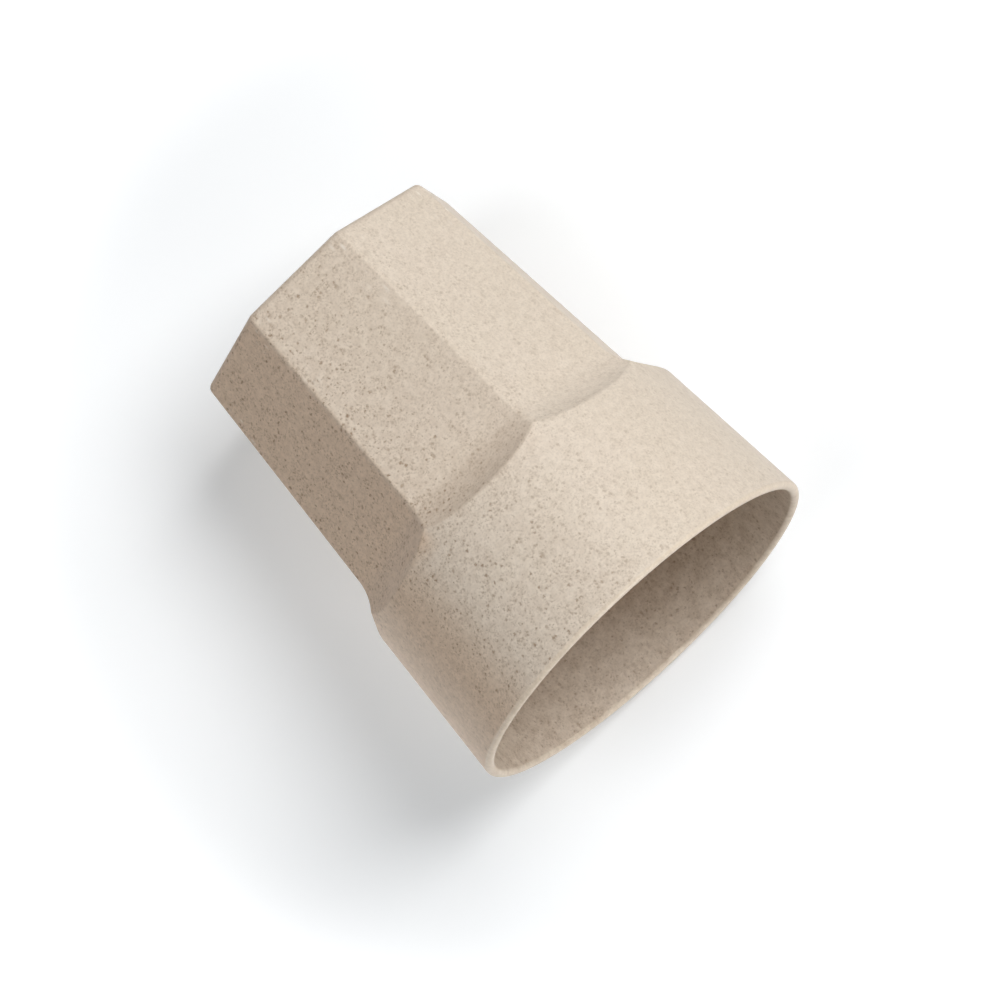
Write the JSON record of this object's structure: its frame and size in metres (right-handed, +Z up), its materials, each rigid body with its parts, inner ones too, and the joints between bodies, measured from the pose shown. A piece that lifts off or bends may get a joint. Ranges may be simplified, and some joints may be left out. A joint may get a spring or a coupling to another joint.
{
  "type": "rice husk fibre cup",
  "caption": "Drinking cup moulded in speckled rice husk fibre, with a faceted lower body, arched run-outs, a round flaring collar and a rounded lip.",
  "frame": {"origin": "centre of the face that the cup stands on", "axes": "+Z up along the cup's axis, out of its mouth; +X is square to one flat of the faceted body"},
  "size_m": [0.08, 0.08, 0.0915],
  "materials": {
    "husk_composite": "matte, warm beige with fine brown husk specks"
  },
  "bodies": {
    "root": {"cup": "husk_composite"}
  },
  "joints": []
}
